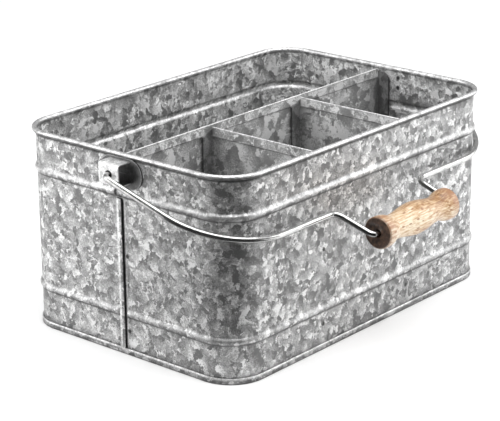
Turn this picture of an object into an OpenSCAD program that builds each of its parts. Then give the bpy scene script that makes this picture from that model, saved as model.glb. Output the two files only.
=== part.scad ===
// A galvanized sheet-steel caddy: a rounded tub with a rolled rim, two beads and a hemmed base, divided into
// one long bay and three short ones, and carried by a wire bail with a turned wooden grip.
// Millimetres. The origin is the middle of the flat underside, +Z is up and X runs along the tub.
// The bail is drawn at rest, hanging on the -Y side against the tub's corners.

/* [Tub] */
// Length over the rolled rim
tub_len = 300; // [240:1:380]
// Depth over the rolled rim
tub_depth = 207; // [180:1:260]
// Height to the top of the rim
tub_h = 150; // [125:1:220]
// Corner radius of the wall's outer face
corner_r = 27; // [20:0.5:30]
// Thickness of the galvanized sheet
sheet_t = 0.5; // [0.4:0.05:0.7]

/* [Rim and beads] */
// Diameter of the rolled rim
rim_d = 3.7; // [3.2:0.1:4.1]
// How far the rolled rim stands outside the wall
rim_proud = 2.75; // [2.4:0.05:3]
// Slit between the wall and the free edge of the curl
curl_gap = 0.3; // [0.2:0.05:0.5]
// Height of a stiffening bead
bead_h = 5.8; // [5:0.1:9]
// How far a bead stands outside the wall
bead_proud = 1.5; // [0.8:0.1:2]
// Drop from the top of the rim to the middle of the upper bead
upper_bead_drop = 30.5; // [30:0.5:33]
// Height of the middle of the lower bead
lower_bead_z = 31; // [14:0.5:50]

/* [Base and seam] */
// Height of the folded hem round the base
hem_h = 4.6; // [3.5:0.1:7]
// Clearance between sheets that are folded round each other
fold_gap = 0.1; // [0.05:0.01:0.15]
// Width over the two folds of the lock seam
seam_w = 5.4; // [4:0.1:8]
// How far the seam's middle lies behind the middle of the end wall
seam_offset = 1.8; // [0:0.1:4]
// Bare wall between the top of the lock seam and the upper bead
seam_top_gap = 0.8; // [0.2:0.1:3]

/* [Dividers] */
// Drop from the top of the rim to the top of the long divider
divider_drop = 3.4; // [3:0.1:20]
// Drop from the top of the long divider to the tops of the cross dividers
cross_drop = 1.6; // [0:0.1:8]
// How far the long divider's back face stands behind the middle
divider_y = 3; // [-20:0.5:20]
// Distance between the two cross dividers
mid_bay = 100; // [70:1:120]
// How far the bay between them lies to the left of the middle
mid_bay_shift = 1.9; // [-10:0.1:10]
// Height of the strip folded over along a divider's top edge
divider_hem_h = 7.5; // [5:0.5:12]
// Width of the flanges bent at a divider's ends
flange_w = 12; // [8:0.5:16]
// Inner radius of a divider's bends
bend_r = 0.8; // [0.4:0.1:1.5]
// Drop from a divider's top edge to the top of its flanges
flange_drop = 2; // [1:0.5:5]
// Rounding of the upper corner of the flanges on the end walls
flange_corner_r = 8; // [4:0.5:10]
// Fall of the slanted top of a cross divider's flanges
flange_fall = 4; // [1:0.5:8]
// Clearance where a sheet lies against its neighbour
seat_gap = 0.05; // [0.03:0.01:0.1]

/* [Ears] */
// Length of an ear's base plate
ear_len = 39.4; // [34:0.2:46]
// Height of an ear's base plate
ear_h = 22; // [20:0.2:22]
// Clearance between an ear's base plate and the rolled rim
ear_rim_gap = 0.3; // [0.2:0.05:0.6]
// Thickness of an ear's plate and strap
ear_t = 1.1; // [0.8:0.05:1.2]
// Width of the raised strap
strap_w = 18.6; // [16:0.2:22]
// Height of the raised strap
strap_h = 16; // [15.5:0.1:17]
// How far the strap's front stands from the tub's wall
strap_reach = 13; // [12.5:0.1:15]
// Outer bend radius of the strap
strap_r = 2; // [1.5:0.1:3]
// How far the pivot hole lies above the middle of the base plate
pivot_rise = 1.4; // [0:0.1:2]
// Diameter of the pivot hole
pivot_hole_d = 6.2; // [5.6:0.1:7]

/* [Bail] */
// Diameter of the bail wire
wire_d = 4.5; // [3.5:0.1:4.8]
// Angle of the resting bail below the horizontal
rest_angle = 17.6; // [15:0.1:20]
// Clearance between an ear's front and the wire at the pivot
bail_side_gap = 2.7; // [2:0.1:5]
// How far each arm leans inwards from its pivot to the crossbar
arm_lean = 4.5; // [0:0.1:6]
// Radius of the two large bends between arms and crossbar
shoulder_r = 58; // [40:0.5:70]
// Clearance between the resting bail and the tub's corners
corner_gap = 0.3; // [0.2:0.1:2]
// How far each jog leans inwards on its way to the grip
jog_lean = 1.6; // [0:0.1:6]
// Distance from the crossbar to the grip's middle line
grip_offset = 33.2; // [30:0.1:45]
// Radius of the bends between the crossbar and the jogs
jog_r = 8.4; // [5:0.1:10]
// Radius of the bends between the jogs and the grip
grip_bend_r = 4; // [3.5:0.1:6]
// Play of the grip along the wire, at each end
grip_play = 0.7; // [0.4:0.1:3]
// Radius of the bends beside the pivot holes
pivot_bend_r = 5; // [4:0.1:6]
// Radius of the bend at each hook inside an ear
hook_r = 2.7; // [2.5:0.1:3]
// Length of the hook inside an ear, from the pivot's middle line
hook_len = 5.8; // [5.5:0.1:6]
// Clearance between the hook and the strap's front
hook_gap = 0.6; // [0.4:0.1:1]

/* [Grip] */
// Length of the wooden grip
grip_len = 83; // [70:0.5:95]
// Diameter of the grip's middle
belly_d = 23.4; // [20:0.2:30]
// Diameter of the two necks
neck_d = 18; // [15:0.2:22]
// Diameter of the two ends
end_d = 23.2; // [20:0.2:30]
// Distance from each end of the grip to its neck
neck_inset = 17; // [13:0.5:20]
// Length of the full-width band at each end
end_band = 5; // [3:0.5:8]
// Rounding of the end's rim
end_r = 1.8; // [0.8:0.1:2.5]
// Diameter of the bore for the wire
grip_bore_d = 5.4; // [5:0.1:7]

/* [Hidden] */

// Segments of a small round section, of a bead, bend or turned piece, and of the tub's corners
section_fn = 16;
arc_fn = 28;
corner_fn = 32;
// Cuts run past the surfaces that they open by this much
overrun = 1;

// The wall's outer and inner faces, from the middle
wall_x = tub_len / 2 - rim_proud;
wall_y = tub_depth / 2 - rim_proud;
inner_x = wall_x - sheet_t;
inner_y = wall_y - sheet_t;
// The wall's lower edge stands on the floor pan
wall_foot = sheet_t + fold_gap;
rim_z = tub_h - rim_d / 2;
rim_out = rim_proud - rim_d / 2;
upper_bead_z = tub_h - upper_bead_drop;
// A bead's outer face is an arc over its height
bead_r = (bead_h * bead_h / 4 + bead_proud * bead_proud) / (2 * bead_proud);

// The hem holds the wall's turned-up edge between the wall and the pan's own leg
hook_out = fold_gap + sheet_t;
hem_out = 2 * (fold_gap + sheet_t);
hook_top = hem_h - sheet_t - fold_gap;

// The lock seam is four sheets deep: each edge is folded round the other one
seam_fold_r = (2 * fold_gap + 3 * sheet_t) / 2;
seam_layer = fold_gap + sheet_t;
seam_step_r = seam_fold_r + seam_layer;
seam_mid = fold_gap + sheet_t / 2;
seam_half = seam_w / 2 - seam_fold_r;
seam_foot = hem_h + fold_gap;
seam_top = upper_bead_z - bead_h / 2 - seam_top_gap;

divider_top = tub_h - divider_drop;
cross_top = divider_top - cross_drop;
divider_foot = sheet_t + seat_gap;
bend_out = bend_r + sheet_t;
long_len = 2 * (inner_x - seat_gap);
// The cross dividers reach from the folded face of the long divider to the front wall
cross_start = divider_y - 2 * sheet_t - seat_gap;
cross_len = cross_start + inner_y - seat_gap;

ear_z = tub_h - rim_d - ear_rim_gap - ear_h / 2;
pivot_z = ear_z + pivot_rise;
strap_front = wall_x + strap_reach;
hook_x = strap_front - ear_t - hook_gap - wire_d / 2;
arm_x = strap_front + bail_side_gap + wire_d / 2;

// How close the crossbar's bends come to the tub's corners, with the crossbar at the given reach
function corner_room(reach) =
    let (
        lean = atan(arm_lean / reach),
        centre_x = arm_x - arm_lean - shoulder_r * tan((90 - lean) / 2),
        centre_reach = reach - shoulder_r,
        rooms = [
            for (angle = [0:90])
                norm([
                    centre_x + shoulder_r * cos(angle) - wall_x + corner_r,
                    (centre_reach + shoulder_r * sin(angle)) * cos(rest_angle) - wall_y + corner_r
                ])
        ]
    )
        min(rooms) - corner_r - wire_d / 2;
// Halves the span between a reach that is too short and one that is long enough
function fitted_reach(short, long, halvings) =
    let (middle = (short + long) / 2)
        halvings == 0
            ? long
            : corner_room(middle) < corner_gap
                ? fitted_reach(middle, long, halvings - 1)
                : fitted_reach(short, middle, halvings - 1);
// The crossbar stands clear of the front bead, and its bends rest against the tub's corners
front_reach = (wall_y + bead_proud + corner_gap + wire_d / 2) / cos(rest_angle);
bail_reach = fitted_reach(front_reach, 2 * front_reach, 16);
grip_reach = bail_reach + grip_offset;
// Where the jogs' corners lie: the bends beside the grip begin just past its ends
jog_turn = 90 - atan(jog_lean / grip_offset);
jog_inner = grip_len / 2 + grip_play + grip_bend_r * tan(jog_turn / 2);
jog_outer = jog_inner + jog_lean;
// The straight pieces of the bail are a hair thinner than its bends and run a little way into them
bend_step = 0.06;
bend_lap = 0.2;
grip_steps = 14;

// Sweeps a section, drawn outwards and up from the wall's outer face, round the whole tub
module swept_round() {
    for (side = [0:3]) {
        reach = side % 2 == 0 ? wall_x : wall_y;
        run = (side % 2 == 0 ? wall_y : wall_x) - corner_r;
        rotate([0, 0, side * 90]) {
            translate([reach, run, 0])
                rotate([90, 0, 0])
                    linear_extrude(height = 2 * run)
                        children();
            translate([reach - corner_r, run, 0])
                rotate_extrude(angle = 90, $fn = corner_fn)
                    translate([corner_r, 0])
                        children();
        }
    }
}

// A rectangle with round corners, grown by a margin from the wall's outer outline
module rounded_outline(margin) {
    half_l = wall_x + margin;
    half_d = wall_y + margin;
    r = corner_r + margin;
    square([2 * half_l, 2 * (half_d - r)], center = true);
    square([2 * (half_l - r), 2 * half_d], center = true);
    for (x = [-1, 1], y = [-1, 1])
        translate([x * (half_l - r), y * (half_d - r)])
            circle(r = r, $fn = corner_fn);
}

// The part of a disc that bulges past the middle of the sheet at a bead
module bead_bulge(z) {
    intersection() {
        translate([bead_proud - bead_r, z])
            circle(r = bead_r, $fn = arc_fn);
        translate([-sheet_t / 2, z - bead_r])
            square([bead_proud + sheet_t, 2 * bead_r]);
    }
}

// Section through the wall: turned-up foot, two beads and the curl of the rim
module wall_section() {
    difference() {
        union() {
            translate([-sheet_t, wall_foot])
                square([sheet_t, rim_z - wall_foot]);
            translate([-sheet_t, wall_foot])
                square([sheet_t + hook_out, hook_top - wall_foot]);
            translate([rim_out, rim_z])
                circle(d = rim_d, $fn = section_fn);
            bead_bulge(upper_bead_z);
            bead_bulge(lower_bead_z);
        }
        translate([rim_out, rim_z])
            circle(d = rim_d - 2 * sheet_t, $fn = section_fn);
        translate([0, rim_z - rim_d])
            square([curl_gap, rim_d]);
        translate([0, wall_foot + sheet_t])
            square([fold_gap, hem_h]);
        for (z = [upper_bead_z, lower_bead_z])
            translate([bead_proud - bead_r, z])
                circle(r = bead_r - sheet_t, $fn = arc_fn);
    }
}

// The outline round the seam's two fold centres
module seam_stadium(r) {
    square([2 * seam_half, 2 * r], center = true);
    for (end = [-1, 1])
        translate([end * seam_half, 0])
            circle(r = r, $fn = section_fn);
}

// One edge of the sheet, folded back over itself on its +X side
module folded_edge() {
    difference() {
        seam_stadium(seam_fold_r);
        seam_stadium(seam_fold_r - sheet_t);
        translate([-seam_half - seam_fold_r - overrun, -seam_fold_r - overrun])
            square([seam_fold_r + overrun, 2 * (seam_fold_r + overrun)]);
    }
}

// The space under the step, from the seam's middle outwards, whose far corner follows the fold below it
module step_block(inset, margin) {
    low = -sheet_t - margin;
    translate([-margin, low])
        square([seam_half + margin, 3 * seam_layer - inset - low]);
    translate([-margin, low])
        square([seam_half + seam_step_r - inset + margin, seam_mid - low]);
    translate([seam_half, seam_mid])
        circle(r = seam_step_r - inset, $fn = section_fn);
}

// Plan of the lock seam, along X and with +Y outwards: two folded edges hold each other
module seam_plan() {
    // The near edge runs under the seam, turns over at the far side and comes back
    translate([0, seam_mid])
        folded_edge();
    translate([-seam_half - seam_fold_r - overrun, -sheet_t])
        square([seam_half + seam_fold_r + overrun, sheet_t]);
    // The far edge lies on top, turns under at the near side and ends inside
    translate([0, seam_mid + seam_layer])
        mirror([1, 0])
            folded_edge();
    // It steps down to the wall beyond the near edge's fold
    difference() {
        step_block(0, 0);
        step_block(sheet_t, overrun);
    }
}

// Carries the seam's plan to the middle of the left end wall
module at_seam(foot, top) {
    translate([-wall_x, seam_offset, foot])
        rotate([0, 0, 90])
            linear_extrude(height = top - foot)
                children();
}

module tub_wall() {
    window_near = seam_half + seam_fold_r;
    window_far = seam_half + seam_step_r - sheet_t / 2;
    color("silver") {
        difference() {
            swept_round()
                wall_section();
            at_seam(seam_foot, seam_top)
                translate([-window_near, -sheet_t - overrun])
                    square([window_near + window_far, sheet_t + bead_proud + 2 * overrun]);
        }
        at_seam(seam_foot, seam_top)
            seam_plan();
    }
}

// Section through the pan's edge: it turns up round the wall's foot and in over it
module hem_section() {
    leg = hem_out - sheet_t;
    difference() {
        union() {
            translate([-sheet_t, 0])
                square([leg + sheet_t, hem_h]);
            translate([-sheet_t, sheet_t])
                square([hem_out + sheet_t, hem_h - 2 * sheet_t]);
            for (z = [sheet_t, hem_h - sheet_t])
                translate([leg, z])
                    circle(r = sheet_t, $fn = section_fn);
        }
        translate([-sheet_t - overrun, sheet_t])
            square([leg + sheet_t + overrun, hem_h - 2 * sheet_t]);
        translate([-sheet_t - overrun, sheet_t])
            square([sheet_t + overrun + fold_gap, hem_h]);
    }
}

module floor_pan() {
    color("silver") {
        linear_extrude(height = sheet_t)
            rounded_outline(0);
        swept_round()
            hem_section();
    }
}

// A rectangle along X with its two back corners rounded, inset at the back and both ends
module bent_outline(length, inset, depth) {
    translate([bend_out, -depth])
        square([length - 2 * bend_out, depth - inset]);
    translate([inset, -depth])
        square([length - 2 * inset, depth - bend_out]);
    for (x = [bend_out, length - bend_out])
        translate([x, -bend_out])
            circle(r = bend_out - inset, $fn = section_fn);
}

// Plan of a divider that runs along +X, with a flange bent towards -Y at each end
module divider_plan(length) {
    difference() {
        bent_outline(length, 0, flange_w);
        bent_outline(length, sheet_t, flange_w + overrun);
    }
}

// Outline taken off the top of a flange with a round corner, from the sheet's face outwards
module round_cut() {
    top = divider_top - flange_drop;
    translate([0, top])
        square([flange_w + overrun, divider_drop + flange_drop]);
    translate([flange_w - flange_corner_r, top - flange_corner_r])
        difference() {
            square(flange_corner_r + overrun);
            circle(r = flange_corner_r, $fn = section_fn);
        }
}

// Outline taken off the top of a flange that slants down to its edge
module slant_cut() {
    top = cross_top - flange_drop;
    polygon([
        [0, top],
        [flange_w, top - flange_fall],
        [flange_w + overrun, top - flange_fall],
        [flange_w + overrun, cross_top + overrun],
        [0, cross_top + overrun]
    ]);
}

// A divider along +X: bent flanges, trimmed by the outline that is passed in, and a folded top edge
module divider(length, top) {
    difference() {
        translate([0, 0, divider_foot])
            linear_extrude(height = top - sheet_t - divider_foot)
                divider_plan(length);
        for (x = [-overrun, length - bend_out])
            translate([x, -sheet_t, 0])
                rotate([90, 0, 90])
                    linear_extrude(height = bend_out + overrun)
                        mirror([1, 0])
                            children();
    }
    translate([bend_out, -2 * sheet_t, top - divider_hem_h])
        cube([length - 2 * bend_out, 2 * sheet_t, divider_hem_h - sheet_t]);
    translate([bend_out, -sheet_t, top - sheet_t])
        rotate([0, 90, 0])
            cylinder(r = sheet_t, h = length - 2 * bend_out, $fn = section_fn);
}

module long_divider() {
    color("lightgray")
        translate([-long_len / 2, divider_y, 0])
            divider(long_len, divider_top)
                round_cut();
}

// A cross divider's right face is at the given place, with its flanges to the left
module cross_divider(x) {
    color("lightgray")
        translate([x, cross_start, 0])
            rotate([0, 0, -90])
                divider(cross_len, cross_top)
                    slant_cut();
}

module cross_divider_left() {
    cross_divider(-mid_bay_shift - mid_bay / 2);
}

module cross_divider_right() {
    cross_divider(mid_bay / 2 - mid_bay_shift);
}

// A block's outline from the wall outwards, with two round outer corners
module strap_outline(reach, height, r) {
    translate([0, -height / 2])
        square([reach - r, height]);
    translate([0, r - height / 2])
        square([reach, height - 2 * r]);
    for (end = [-1, 1])
        translate([reach - r, end * (height / 2 - r)])
            circle(r = r, $fn = section_fn);
}

// The right-hand ear: a plate with round ends on the wall, and a strap that stands out from it
module ear() {
    color("gray") {
        translate([wall_x + seat_gap, 0, ear_z])
            rotate([90, 0, 90])
                linear_extrude(height = ear_t) {
                    square([ear_len - ear_h, ear_h], center = true);
                    for (end = [-1, 1])
                        translate([end * (ear_len - ear_h) / 2, 0])
                            circle(d = ear_h, $fn = arc_fn);
                }
        difference() {
            translate([wall_x, 0, pivot_z])
                rotate([90, 0, 0])
                    linear_extrude(height = strap_w, center = true)
                        difference() {
                            strap_outline(strap_reach, strap_h, strap_r);
                            strap_outline(strap_reach - ear_t, strap_h - 2 * ear_t, strap_r - ear_t);
                            translate([-overrun, -strap_h])
                                square([overrun + seat_gap + ear_t / 2, 2 * strap_h]);
                        }
            translate([wall_x + strap_reach / 2, 0, pivot_z])
                rotate([0, 90, 0])
                    cylinder(d = pivot_hole_d, h = strap_reach, $fn = section_fn);
        }
    }
}

module ear_right() {
    ear();
}

module ear_left() {
    mirror([1, 0, 0])
        ear();
}

function unit(v) = v / norm(v);

// Angle by which the bail's path turns at a corner, to the left where it is positive
function turn_at(i) =
    let (u = unit(half_bail[i] - half_bail[i - 1]), v = unit(half_bail[i + 1] - half_bail[i]))
        sign(u.x * v.y - u.y * v.x) * acos(u * v);

// Length that a corner's bend takes from the straight pieces on both sides of it
function bend_take(i) =
    i == 0 || i == len(half_bail) - 1 ? 0 : half_radii[i] * tan(abs(turn_at(i)) / 2);

// Draws the wire from one corner to the next along +X, then its bend, and goes on from the bend's end
module wire_from(i) {
    run = norm(half_bail[i + 1] - half_bail[i]) - bend_take(i) - bend_take(i + 1);
    lap = i == 0 ? 0 : bend_lap;
    translate([-lap, 0, 0])
        rotate([0, 90, 0])
            cylinder(d = wire_d - bend_step, h = lap + run + bend_lap, $fn = section_fn);
    if (i + 2 < len(half_bail)) {
        turn = turn_at(i + 1);
        r = half_radii[i + 1];
        mirror([0, turn < 0 ? 1 : 0, 0])
            translate([run, r, 0]) {
                rotate([0, 0, -90])
                    rotate_extrude(angle = abs(turn), $fn = arc_fn)
                        translate([r, 0])
                            circle(d = wire_d, $fn = section_fn);
                rotate([0, 0, abs(turn)])
                    translate([0, -r, 0])
                        mirror([0, turn < 0 ? 1 : 0, 0])
                            wire_from(i + 1);
            }
    }
}

// Turns what is drawn flat, with Y away from the pivots, into the bail's resting place
module at_rest() {
    translate([0, 0, pivot_z])
        rotate([180 + rest_angle, 0, 0])
            children();
}

// Corners of the right half of the bail, from the middle of the grip to the hook in the ear
half_bail = [
    [0, grip_reach],
    [jog_inner, grip_reach],
    [jog_outer, bail_reach],
    [arm_x - arm_lean, bail_reach],
    [arm_x, 0],
    [hook_x, 0],
    [hook_x, -hook_len]
];
half_radii = [0, grip_bend_r, jog_r, shoulder_r, pivot_bend_r, hook_r, 0];

module bail_wire() {
    color("gainsboro")
        at_rest()
            translate([0, grip_reach, 0])
                for (half = [0, 1])
                    mirror([half, 0, 0])
                        wire_from(0);
}

// Radius of the turned grip at a distance from its middle: a belly, a neck and a flared end
neck_at = grip_len / 2 - neck_inset;
flare_at = grip_len / 2 - end_band;
function wave(share) = (1 - cos(180 * share)) / 2;
function grip_radius(at) =
    at < neck_at
        ? belly_d / 2 + (neck_d - belly_d) / 2 * wave(at / neck_at)
        : neck_d / 2 + (end_d - neck_d) / 2 * wave((at - neck_at) / (flare_at - neck_at));

// Outline of half of the grip, from its middle to its end, which is rounded over
turned_points = [
    for (i = [0:grip_steps])
        let (at = flare_at * i / grip_steps)
            [grip_radius(at), at]
];
rounded_points = [
    for (i = [0:section_fn / 4])
        let (angle = 360 * i / section_fn)
            [end_d / 2 - end_r + end_r * cos(angle), grip_len / 2 - end_r + end_r * sin(angle)]
];

module grip() {
    color("burlywood")
        at_rest()
            translate([0, grip_reach, 0])
                rotate([0, 90, 0])
                    for (half = [0, 1])
                        mirror([0, 0, half])
                            difference() {
                                rotate_extrude($fn = arc_fn)
                                    polygon(concat(
                                        [[0, 0]],
                                        turned_points,
                                        rounded_points,
                                        [[0, grip_len / 2]]
                                    ));
                                translate([0, 0, -overrun])
                                    cylinder(d = grip_bore_d, h = grip_len, $fn = section_fn);
                            }
}

tub_wall();
floor_pan();
long_divider();
cross_divider_left();
cross_divider_right();
ear_left();
ear_right();
bail_wire();
grip();
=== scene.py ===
import math

import bmesh
import bpy
import numpy as np
from mathutils import Matrix, Vector


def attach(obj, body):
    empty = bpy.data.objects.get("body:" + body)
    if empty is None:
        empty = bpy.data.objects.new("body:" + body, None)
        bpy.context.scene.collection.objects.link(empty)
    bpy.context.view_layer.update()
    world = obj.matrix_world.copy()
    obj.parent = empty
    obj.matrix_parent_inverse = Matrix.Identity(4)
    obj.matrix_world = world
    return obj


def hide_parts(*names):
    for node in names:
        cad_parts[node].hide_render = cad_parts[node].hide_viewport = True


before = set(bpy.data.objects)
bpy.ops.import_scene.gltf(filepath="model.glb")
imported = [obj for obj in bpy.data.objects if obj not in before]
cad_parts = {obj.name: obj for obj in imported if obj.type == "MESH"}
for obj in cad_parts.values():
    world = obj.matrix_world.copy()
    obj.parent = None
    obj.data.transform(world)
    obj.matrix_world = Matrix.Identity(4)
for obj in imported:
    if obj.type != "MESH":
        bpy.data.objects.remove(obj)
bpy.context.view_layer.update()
print("stage: frame loaded with", len(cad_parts), "nodes")

# All shapes below are worked out in millimetres and become metres when their mesh is made.
millimetre = 0.001
tub = {
    "halfLength": 147.25,  # middle to the wall's outer face
    "halfDepth": 100.75,
    "cornerRadius": 27.0,
    "sheet": 0.5,
    "rimHeight": 148.15,  # middle of the curl
    "cornerSteps": 30,
    "straightStep": 8.0,
}


def unit(v):
    # Vectors divided by their own lengths
    return v / np.linalg.norm(v, axis=-1, keepdims=True)


def stacked(*parts):
    # Points or faces from arrays and numbers that fit one another, one for each of their places
    return np.stack(np.broadcast_arrays(*parts), axis=-1)


def smooth(share):
    # 3s^2 - 2s^3, with s held between nought and one
    s = np.clip(share, 0.0, 1.0)
    return s * s * (3.0 - 2.0 * s)


def bell(value, middle, width):
    # e to the minus square of the distance from the middle, counted in widths
    return np.exp(-(((value - middle) / width) ** 2))


def bentPath(corners, radii, turnStep=10.0):
    # Straight runs joined by circular bends: a bend leaves its corner by radius / tan(half the inside angle)
    corners = np.asarray(corners, float)
    points = [corners[:1]]
    for i in range(1, len(corners) - 1):
        back = unit(corners[i - 1] - corners[i])
        ahead = unit(corners[i + 1] - corners[i])
        half = math.acos(float(np.clip(back @ ahead, -1.0, 1.0))) / 2
        turn = math.pi - 2 * half
        if radii[i] <= 0 or turn < 1e-4:
            points.append(corners[i : i + 1])
            continue
        centre = corners[i] + unit(back + ahead) * radii[i] / math.sin(half)
        start = corners[i] + back * radii[i] / math.tan(half)
        count = max(2, math.ceil(math.degrees(turn) / turnStep))
        angle = np.linspace(0.0, turn, count + 1)[:, None]
        points.append(centre + (start - centre) * np.cos(angle) - back * radii[i] * np.sin(angle))
    points.append(corners[-1:])
    return np.concatenate(points)


def withSteps(path, step):
    # Each run is split into equal pieces no longer than the step
    gaps = np.linalg.norm(np.diff(path, axis=0), axis=1)
    counts = np.maximum(1, np.ceil(gaps / step - 1e-6)).astype(int)
    run = np.repeat(np.arange(len(gaps)), counts)
    share = (np.arange(counts.sum()) - np.repeat(np.cumsum(counts) - counts, counts)) / counts[run]
    inner = path[run] + share[:, None] * (path[run + 1] - path[run])
    return np.concatenate([inner, path[-1:]])


def sideways(path):
    # Unit normals of a flat path: the mean direction at each point turned a quarter to the left
    before = unit(np.diff(path, axis=0, prepend=2 * path[:1] - path[1:2]))
    after = unit(np.diff(path, axis=0, append=2 * path[-1:] - path[-2:-1]))
    tangent = unit(before + after)
    return stacked(-tangent[:, 1], tangent[:, 0])


def bothFaces(line, place):
    # The middle line of a sheet moved half a sheet to either side, and each then put in its place
    across = sideways(line) * tub["sheet"] / 2
    return [place(line + side * across).reshape(-1, 3) for side in (1.0, -1.0)]


def gridQuads(rows, cols, wrapRows=False, wrapCols=False, keep=None):
    # Cells of a grid of rows x cols points, numbered row by row; the last one meets the first where it wraps
    index = np.arange(rows * cols).reshape(rows, cols)
    if wrapRows:
        index = np.vstack([index, index[:1]])
    if wrapCols:
        index = np.hstack([index, index[:, :1]])
    cells = np.stack([index[:-1, :-1], index[1:, :-1], index[1:, 1:], index[:-1, 1:]], axis=-1)
    return cells[keep] if keep is not None else cells.reshape(-1, 4)


def borderEdges(quads):
    # Edges that only one face uses
    edges = np.concatenate([quads[:, [0, 1]], quads[:, [1, 2]], quads[:, [2, 3]], quads[:, [3, 0]]])
    _, first, count = np.unique(np.sort(edges, axis=1), axis=0, return_index=True, return_counts=True)
    return edges[first[count == 1]]


def thickSheet(left, right, quads, marks, edge=None):
    # Both faces of a sheet with the same cells, and a strip along every free edge, or along the given ones
    count = len(left)
    if edge is None:
        edge = borderEdges(quads)
    strips = stacked(edge[:, 1], edge[:, 0], edge[:, 0] + count, edge[:, 1] + count)
    faces = np.concatenate([quads, quads[:, ::-1] + count, strips])
    both = {key: np.concatenate(pair if isinstance(pair, tuple) else (pair, pair))
            for key, pair in marks.items()}
    return {"points": np.concatenate([left, right]), "faces": [faces], "marks": both}


def tiled(rows, **marks):
    # Marks of one line repeated for all the rows of its grid
    return {key: np.tile(mark * 1.0, rows) for key, mark in marks.items()}


def roundTube(rings, marks):
    # Rings of points joined one to the next, closed at both ends by a fan to the ring's middle
    rows, cols = rings.shape[:2]
    points = np.concatenate([rings.reshape(-1, 3), rings[0].mean(0)[None], rings[-1].mean(0)[None]])
    ring = np.arange(cols)
    following = np.roll(ring, -1)
    last = (rows - 1) * cols
    fans = np.concatenate([stacked(following, ring, rows * cols),
                           stacked(last + ring, last + following, rows * cols + 1)])
    return {"points": points, "faces": [gridQuads(rows, cols, wrapCols=True), fans], "marks": marks}


def intoScene(name, data):
    # A new object for a mesh, a lamp or a camera
    thing = bpy.data.objects.new(name, data)
    bpy.context.scene.collection.objects.link(thing)
    return thing


def makePiece(name, shells, body, nodes, material, sharp=40.0, bevel=None, uv=None):
    # Joins the shells, turns every closed one's faces outwards and hangs the piece on its body
    points, faces, start = [], [], 0
    marks = {"grime": [], "inner": [], "worn": []}
    for shell in shells:
        points.append(shell["points"])
        for key, parts in marks.items():
            parts.append(shell["marks"].get(key, np.zeros(len(shell["points"]))))
        for group in shell["faces"]:
            faces.extend((group + start).tolist())
        start += len(shell["points"])
    mesh = bpy.data.meshes.new(name)
    mesh.from_pydata((np.concatenate(points) * millimetre).tolist(), [], faces)
    for key, parts in marks.items():
        layer = mesh.attributes.new(key, "FLOAT", "POINT")
        layer.data.foreach_set("value", np.concatenate(parts).astype(np.float32))
    work = bmesh.new()
    work.from_mesh(mesh)
    bmesh.ops.recalc_face_normals(work, faces=work.faces)
    work.to_mesh(mesh)
    work.free()
    mesh.shade_smooth()
    mesh.set_sharp_from_angle(angle=math.radians(sharp))
    if uv is not None:
        layer = mesh.uv_layers.new(name="along")
        corner = np.empty(len(mesh.loops), np.int32)
        mesh.loops.foreach_get("vertex_index", corner)
        layer.data.foreach_set("uv", uv[corner].astype(np.float32).ravel())
    piece = intoScene(name, mesh)
    if bevel:
        edge = piece.modifiers.new("worn edge", "BEVEL")
        edge.segments = 2
        edge.limit_method = "ANGLE"
        edge.width, edge.angle_limit = bevel[0] * millimetre, math.radians(bevel[1])
    mesh.materials.append(material)
    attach(piece, body)
    if nodes:
        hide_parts(*nodes)
    print("stage:", name, len(mesh.vertices), "points", len(mesh.polygons), "faces")


# Materials

paint = {"tree": None}  # the node tree of the material that is being made


def feed(node, inputs):
    # Inputs are (socket, value or socket to link)
    for socket, value in inputs:
        if isinstance(value, bpy.types.NodeSocket):
            node.id_data.links.new(value, node.inputs[socket])
        else:
            node.inputs[socket].default_value = value


def put(kind, inputs=(), **settings):
    # Adds a node
    node = paint["tree"].nodes.new(kind)
    for key, value in settings.items():
        setattr(node, key, value)
    feed(node, inputs)
    return node


def newMaterial(name):
    # A fresh material, its shader and the place on the object
    material = bpy.data.materials.new(name)
    material.use_nodes = True
    paint["tree"] = material.node_tree
    return material, material.node_tree.nodes["Principled BSDF"], put("ShaderNodeTexCoord").outputs["Object"]


def calc(operation, a, b=0.0, clamp=False):
    # A sum with two numbers
    return put("ShaderNodeMath", [(0, a), (1, b)], operation=operation, use_clamp=clamp).outputs[0]


def times(a, b):
    # Two numbers multiplied
    return calc("MULTIPLY", a, b)


def blend(share, a, b):
    # Numbers: a where the share is nought, b where it is one
    return put("ShaderNodeMix", [(0, share), (2, a), (3, b)], data_type="FLOAT").outputs[0]


def vector(operation, a, b=None):
    # A sum with vectors, where a scale has a number as its second part
    inputs = [(0, a)] + ([("Scale", b)] if operation == "SCALE" else [(1, b)] if b is not None else [])
    node = put("ShaderNodeVectorMath", inputs, operation=operation)
    return node.outputs["Value" if operation == "DOT_PRODUCT" else "Vector"]


def ramp(value, stops):
    # A colour ramp; stops are (place, grey or colour)
    node = put("ShaderNodeValToRGB", [("Fac", value)])
    elements = node.color_ramp.elements
    while len(elements) < len(stops):
        elements.new(0.5)
    for element, (place, colour) in zip(elements, stops):
        element.position = place
        element.color = (*colour, 1.0) if isinstance(colour, tuple) else (colour,) * 3 + (1.0,)
    return node.outputs["Color"]


def mix(share, a, b):
    # Colours: a where the share is nought, b where it is one
    a, b = ((*value, 1.0) if isinstance(value, tuple) else value for value in (a, b))
    return put("ShaderNodeMix", [(0, share), (6, a), (7, b)], data_type="RGBA").outputs[2]


def noise(at, scale, detail=2.0, rough=0.5, output="Fac"):
    # Smooth noise with so many waves per unit of the place
    return put("ShaderNodeTexNoise", [("Vector", at), ("Scale", scale), ("Detail", detail),
                                      ("Roughness", rough)]).outputs[output]


def bump(height, distance, normal=None):
    # Normals of a surface raised by the height, counted in the distance
    inputs = [("Strength", 1.0), ("Distance", distance), ("Height", height)]
    return put("ShaderNodeBump", inputs + ([("Normal", normal)] if normal else [])).outputs["Normal"]


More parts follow.
